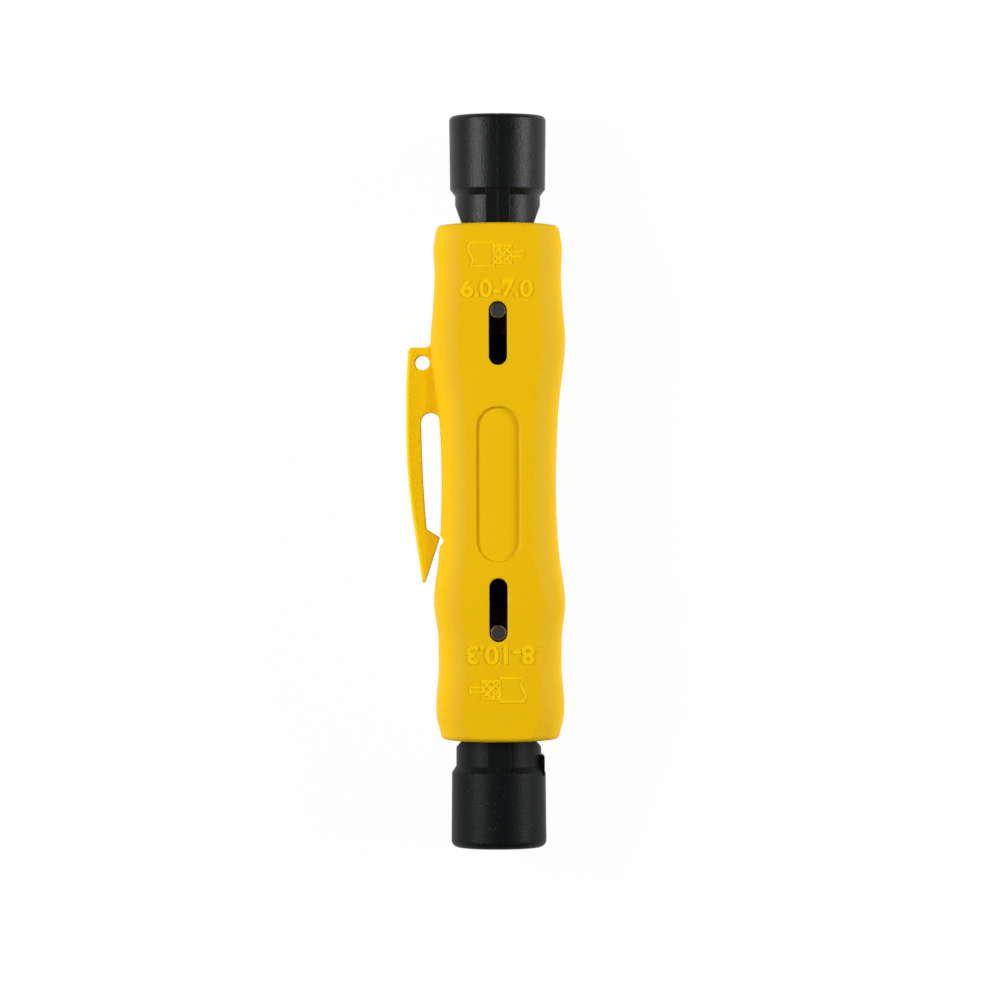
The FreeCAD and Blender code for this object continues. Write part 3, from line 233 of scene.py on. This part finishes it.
# Painted light: from CLIP_SIDE leftwards the clip is painted a lighter yellow, for the light that
# falls on it and comes through it.
painted_light_on_clip = nodes.new("ShaderNodeMapRange")
painted_light_on_clip.inputs["From Min"].default_value = CLIP_SIDE + CLIP_BLEND
painted_light_on_clip.inputs["From Max"].default_value = CLIP_SIDE
clip_painted_light = nodes.new("ShaderNodeMix")
clip_painted_light.data_type = "RGBA"
clip_painted_light.inputs[7].default_value = CLIP_PAINTED_LIGHT_YELLOW
links.new(height.outputs["X"], painted_light_on_clip.inputs["Value"])
links.new(painted_light_on_clip.outputs["Result"], clip_painted_light.inputs["Factor"])
links.new(nodes["tint"].outputs[2], clip_painted_light.inputs[6])
links.new(clip_painted_light.outputs[2], nodes["Principled BSDF"].inputs["Base Color"])
dress(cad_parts["housing"], yellow_abs)

# Cable marks: thin raised lines moulded on the front, which show a stepped cable: its jacket with
# a torn end, its braid and its core. The second mark is the same, turned round. Their yellow is
# painted lighter than that of the housing, a painted highlight for the side light that their edges
# catch, and they are smoother.
FRONT = 2 * AXIS_HEIGHT
RAISED_YELLOW_PAINTED_HIGHLIGHT = (0.86, 0.55, 0.001, 1)
RAISED_EDGE = 0.0001
LINE_RADIUS, LINE_DEPTH = 0.00028, 0.00013
ROUND_STEPS = 2
MARK_PLACES = {"small": (-0.00022, 0.03853, 0), "large": (-0.00014, -0.0352, 180)}
JACKET_HALF, BRAID_HALF, CORE_HALF = 0.00200, 0.00150, 0.00042
JACKET_START, BRAID_START, CORE_START, CORE_END = -0.00460, -0.00040, 0.00258, 0.00460
TORN_END = [(0.00018, 1.0), (-0.00010, 0.66), (-0.00002, 0.30), (0.00048, -0.16),
            (0.00066, -0.50), (0.00030, -1.0)]
# Painted highlight: the raised marks and numbers get a lighter yellow for the light their edges catch.
raised_abs_painted_highlight = moulded_plastic("raised_abs_painted_highlight", RAISED_YELLOW_PAINTED_HIGHLIGHT, RAISED_YELLOW_PAINTED_HIGHLIGHT, YELLOW_ROUGHNESS,
                             YELLOW_SPECULAR, GRAIN_SIZE, GRAIN_HEIGHT / 4, RAISED_EDGE)


def round_rods(name, radius, runs):
    """One piece of round rods, each along its own run of points."""
    bpy.ops.object.select_all(action="DESELECT")
    curve = bpy.data.curves.new(name, "CURVE")
    curve.dimensions = "3D"
    curve.bevel_depth = radius
    curve.bevel_resolution = ROUND_STEPS
    curve.use_fill_caps = True
    for points in runs:
        run = curve.splines.new("POLY")
        run.points.add(len(points) - 1)
        for point, (x, y, z) in zip(run.points, points):
            point.co = (x, y, z, 1)
    rods = bpy.data.objects.new(name, curve)
    scene.collection.objects.link(rods)
    rods.select_set(True)
    bpy.context.view_layer.objects.active = rods
    bpy.ops.object.convert(target="MESH")
    bpy.ops.object.shade_smooth()
    return bpy.context.object


jacket = [(BRAID_START, JACKET_HALF)] + [(JACKET_START + x, JACKET_HALF * y) for x, y in TORN_END]
jacket += [(BRAID_START, -JACKET_HALF), (BRAID_START, JACKET_HALF)]
braid = [(BRAID_START, BRAID_HALF), (CORE_START, BRAID_HALF), (CORE_START, -BRAID_HALF),
         (BRAID_START, -BRAID_HALF)]
middle = (BRAID_START + CORE_START) / 2
hatching = []
for up in (BRAID_HALF, -BRAID_HALF):
    hatching.append([(BRAID_START, -up), (CORE_START, up)])
    hatching.append([(BRAID_START, 0), (middle, up)])
    hatching.append([(middle, -up), (CORE_START, 0)])
core = [(CORE_START, CORE_HALF), (CORE_END, CORE_HALF), (CORE_END, -CORE_HALF),
        (CORE_START, -CORE_HALF)]
flat_lines = [[(x, y, 0) for x, y in line] for line in [jacket, braid, core] + hatching]
for head, (x, y, turn) in MARK_PLACES.items():
    mark = round_rods(f"{head}_cable_mark", LINE_RADIUS, flat_lines)
    mark.rotation_euler = (0, 0, math.radians(turn))
    mark.location = (x, y, FRONT - LINE_DEPTH)
    bpy.ops.object.transform_apply(location=True, rotation=True, scale=True)
    mark.data.materials.append(raised_abs_painted_highlight)
    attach(mark, "housing")

# Cable sizes: plain raised numbers in millimetres under each mark, moulded with the housing and
# worn a little round at their edges. NUMBERS gives the words, their place and turn, and how wide
# and tall they are in the end.
NUMBERS = {"small": ("6.0-7.0", (-0.00012, 0.03282, 0), (0.0122, 0.00315)),
           "large": ("8-10.3", (0.00041, -0.0293, 180), (0.0115, 0.0032))}
NUMBER_RISE = 0.00015
LETTER_SIZE, LETTER_FATTENING = 0.0042, 0.00005
LETTER_HALF_DEPTH, LETTER_EDGE = 0.00015, 0.00006
SAME_POINT = 0.000002
for head, (words, (x, y, turn), (wide, tall)) in NUMBERS.items():
    bpy.ops.object.select_all(action="DESELECT")
    bpy.ops.object.text_add()
    numbers = bpy.context.object
    numbers.name = f"{head}_numbers"
    numbers.data.body = words
    numbers.data.size = LETTER_SIZE
    numbers.data.align_x = "CENTER"
    numbers.data.align_y = "CENTER"
    numbers.data.offset = LETTER_FATTENING
    numbers.data.extrude = LETTER_HALF_DEPTH
    numbers.data.bevel_depth = LETTER_EDGE
    numbers.data.bevel_resolution = ROUND_STEPS
    bpy.ops.object.convert(target="MESH")
    numbers = bpy.context.object
    corners = [vertex.co.copy() for vertex in numbers.data.vertices]
    low_x, high_x = min(c.x for c in corners), max(c.x for c in corners)
    low_y, high_y = min(c.y for c in corners), max(c.y for c in corners)
    high_z = max(c.z for c in corners)
    bpy.ops.object.mode_set(mode="EDIT")
    bpy.ops.mesh.select_all(action="SELECT")
    bpy.ops.mesh.remove_doubles(threshold=SAME_POINT)
    bpy.ops.transform.translate(value=(-(low_x + high_x) / 2, -(low_y + high_y) / 2, -high_z))
    bpy.ops.transform.resize(value=(wide / (high_x - low_x), tall / (high_y - low_y), 1),
                             center_override=(0, 0, 0))
    bpy.ops.object.mode_set(mode="OBJECT")
    numbers.rotation_euler = (0, 0, math.radians(turn))
    numbers.location = (x, y, FRONT + NUMBER_RISE)
    bpy.ops.object.transform_apply(location=True, rotation=True, scale=True)
    # The numbers take the lighter yellow of the marks, a painted highlight.
    numbers.data.materials.append(raised_abs_painted_highlight)
    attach(numbers, "housing")

# Heads: each is a pair of jaws of black glass-filled nylon with the block that carries the blades
# let into the blade jaw, and a plunger of the same nylon behind them. The large head is duller
# than the small one and has a little dust on it.
BLACK = (0.0062, 0.0076, 0.0082, 1)
BLACK_DEEP = (0.0035, 0.0042, 0.0046, 1)
SMALL_ROUGHNESS, SMALL_SPECULAR = 0.37, 0.18
LARGE_ROUGHNESS, LARGE_SPECULAR = 0.44, 0.08
SPECKLE_SIZE, SPECKLE_HEIGHT = 0.00030, 0.00006
HEAD_EDGE = 0.00015
DUST = (0.05, 0.065, 0.068, 1)
DUST_SPACING, DUST_RADIUS = 0.0011, 0.00010
DUST_CORE = 0.6
small_nylon = moulded_plastic("black_nylon_small", BLACK, BLACK_DEEP, SMALL_ROUGHNESS, SMALL_SPECULAR,
                              SPECKLE_SIZE, SPECKLE_HEIGHT, HEAD_EDGE)
large_nylon = moulded_plastic("black_nylon_large", BLACK, BLACK_DEEP, LARGE_ROUGHNESS, LARGE_SPECULAR,
                              SPECKLE_SIZE, SPECKLE_HEIGHT, HEAD_EDGE)
nodes, links = large_nylon.node_tree.nodes, large_nylon.node_tree.links
place = nodes.new("ShaderNodeTexCoord")
cells = nodes.new("ShaderNodeTexVoronoi")
cells.inputs["Scale"].default_value = 1 / DUST_SPACING
speck = nodes.new("ShaderNodeMapRange")
speck.inputs["From Min"].default_value = DUST_RADIUS / DUST_SPACING
speck.inputs["From Max"].default_value = DUST_CORE * DUST_RADIUS / DUST_SPACING
dusty = nodes.new("ShaderNodeMix")
dusty.data_type = "RGBA"
dusty.inputs[7].default_value = DUST
links.new(place.outputs["Object"], cells.inputs["Vector"])
links.new(cells.outputs["Distance"], speck.inputs["Value"])
links.new(speck.outputs["Result"], dusty.inputs["Factor"])
links.new(nodes["tint"].outputs[2], dusty.inputs[6])
links.new(dusty.outputs[2], nodes["Principled BSDF"].inputs["Base Color"])
for head, nylon in (("small", small_nylon), ("large", large_nylon)):
    for part in ("blade_jaw", "support_jaw", "blade_cassette", "plunger"):
        dress(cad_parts[f"{head}_head_{part}"], nylon)

# Pins and blades: plain steel. The pins are cut from rod, and the blades are ground. Both show
# fine streaks, which are long the way that the metal was drawn or ground.
STEEL_DETAIL = 3
STREAK_SHADE = 0.8
STEEL_SHINE_SPREAD = 0.08


def steel(name, colour, roughness, streaks):
    """Bare steel; the streaks are counts to the metre along each axis."""
    material = bpy.data.materials.new(name)
    material.use_nodes = True
    nodes, links = material.node_tree.nodes, material.node_tree.links
    shader = nodes["Principled BSDF"]
    shader.inputs["Metallic"].default_value = 1
    place = nodes.new("ShaderNodeTexCoord")
    stretch = nodes.new("ShaderNodeMapping")
    stretch.inputs["Scale"].default_value = streaks
    marks = nodes.new("ShaderNodeTexNoise")
    marks.inputs["Scale"].default_value = 1
    marks.inputs["Detail"].default_value = STEEL_DETAIL
    tint = nodes.new("ShaderNodeMix")
    tint.data_type = "RGBA"
    tint.inputs[6].default_value = colour
    tint.inputs[7].default_value = (*(STREAK_SHADE * c for c in colour[:3]), 1)
    shine = nodes.new("ShaderNodeMapRange")
    shine.inputs["To Min"].default_value = roughness - STEEL_SHINE_SPREAD
    shine.inputs["To Max"].default_value = roughness + STEEL_SHINE_SPREAD
    links.new(place.outputs["Object"], stretch.inputs["Vector"])
    links.new(stretch.outputs["Vector"], marks.inputs["Vector"])
    links.new(marks.outputs["Fac"], tint.inputs["Factor"])
    links.new(tint.outputs[2], shader.inputs["Base Color"])
    links.new(marks.outputs["Fac"], shine.inputs["Value"])
    links.new(shine.outputs["Result"], shader.inputs["Roughness"])
    return material


pin_steel = steel("pin_steel", colour=(0.30, 0.31, 0.31, 1), roughness=0.34, streaks=(4000, 4000, 400))
blade_steel = steel("blade_steel", colour=(0.55, 0.57, 0.6, 1), roughness=0.25,
                    streaks=(400, 4000, 6000))
for head in ("small", "large"):
    dress(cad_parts[f"{head}_head_pivot_pin"], pin_steel)
    dress(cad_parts[f"{head}_head_jacket_blade"], blade_steel)
    dress(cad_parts[f"{head}_head_core_blade"], blade_steel)

# Springs: each is wound from drawn wire and stands between the middle wall and its plunger. They
# are made here, in the places of the solids. SPRINGS gives how far the seat on the plunger is from
# the middle, the turns, and the side of the wall.
WALL_HALF, WIRE_RADIUS, COIL_RADIUS, SEAT_GAP = 0.0015, 0.0004, 0.0056, 0.00002
SPRINGS = {"small": (0.0160, 6.5, 1), "large": (0.0139, 5.5, -1)}
STEPS_PER_TURN = 24
spring_wire = steel("spring_wire", colour=(0.4, 0.41, 0.43, 1), roughness=0.35,
                    streaks=(3000, 3000, 3000))
for head, (seat, turns, side) in SPRINGS.items():
    first, last = WALL_HALF + SEAT_GAP + WIRE_RADIUS, seat - SEAT_GAP - WIRE_RADIUS
    steps = round(turns * STEPS_PER_TURN)
    helix = []
    for i in range(steps + 1):
        turn = 2 * math.pi * i / STEPS_PER_TURN
        helix.append((COIL_RADIUS * math.cos(turn), side * (first + (last - first) * i / steps),
                      AXIS_HEIGHT - side * COIL_RADIUS * math.sin(turn)))
    coil = round_rods(f"{head}_spring_coil", WIRE_RADIUS, [helix])
    coil.data.materials.append(spring_wire)
    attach(coil, "housing")
    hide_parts(f"{head}_head_spring")
    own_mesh(coil)
